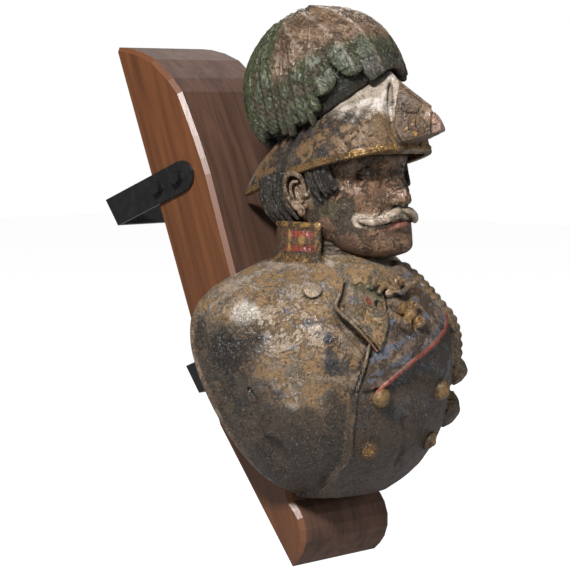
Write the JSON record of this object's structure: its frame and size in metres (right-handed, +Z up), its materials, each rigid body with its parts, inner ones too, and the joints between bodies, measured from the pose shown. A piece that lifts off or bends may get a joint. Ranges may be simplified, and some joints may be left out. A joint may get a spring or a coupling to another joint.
{
  "type": "ship figurehead",
  "caption": "Carved and painted wooden bust of a uniformed officer in a plumed bicorn hat, bolted by a thick pine board to two steel wall brackets.",
  "frame": {"origin": "centre of the upper bracket's wall plate, on its outer face", "axes": "+Z up along the bust, -Y the way the figure faces, +X the figure's left"},
  "size_m": [0.4398, 0.5769, 0.7965],
  "materials": {
    "painted_wood": "layers of old flaking oil paint, ochre, blue-grey, black and gilt, satin",
    "painted_plume": "worn moss-green paint over bare brown wood, satin",
    "varnished_pine": "reddish varnished pine, satin",
    "black_steel": "satin black"
  },
  "bodies": {
    "root": {"figure": "painted_wood", "plume": "painted_plume", "stem_board": "varnished_pine", "upper_bracket": "black_steel", "lower_bracket": "black_steel", "upper_bolt_right_1": "black_steel", "upper_bolt_right_2": "black_steel", "upper_bolt_left_1": "black_steel", "upper_bolt_left_2": "black_steel", "lower_bolt_right_1": "black_steel", "lower_bolt_right_2": "black_steel", "lower_bolt_left_1": "black_steel", "lower_bolt_left_2": "black_steel"}
  },
  "joints": []
}
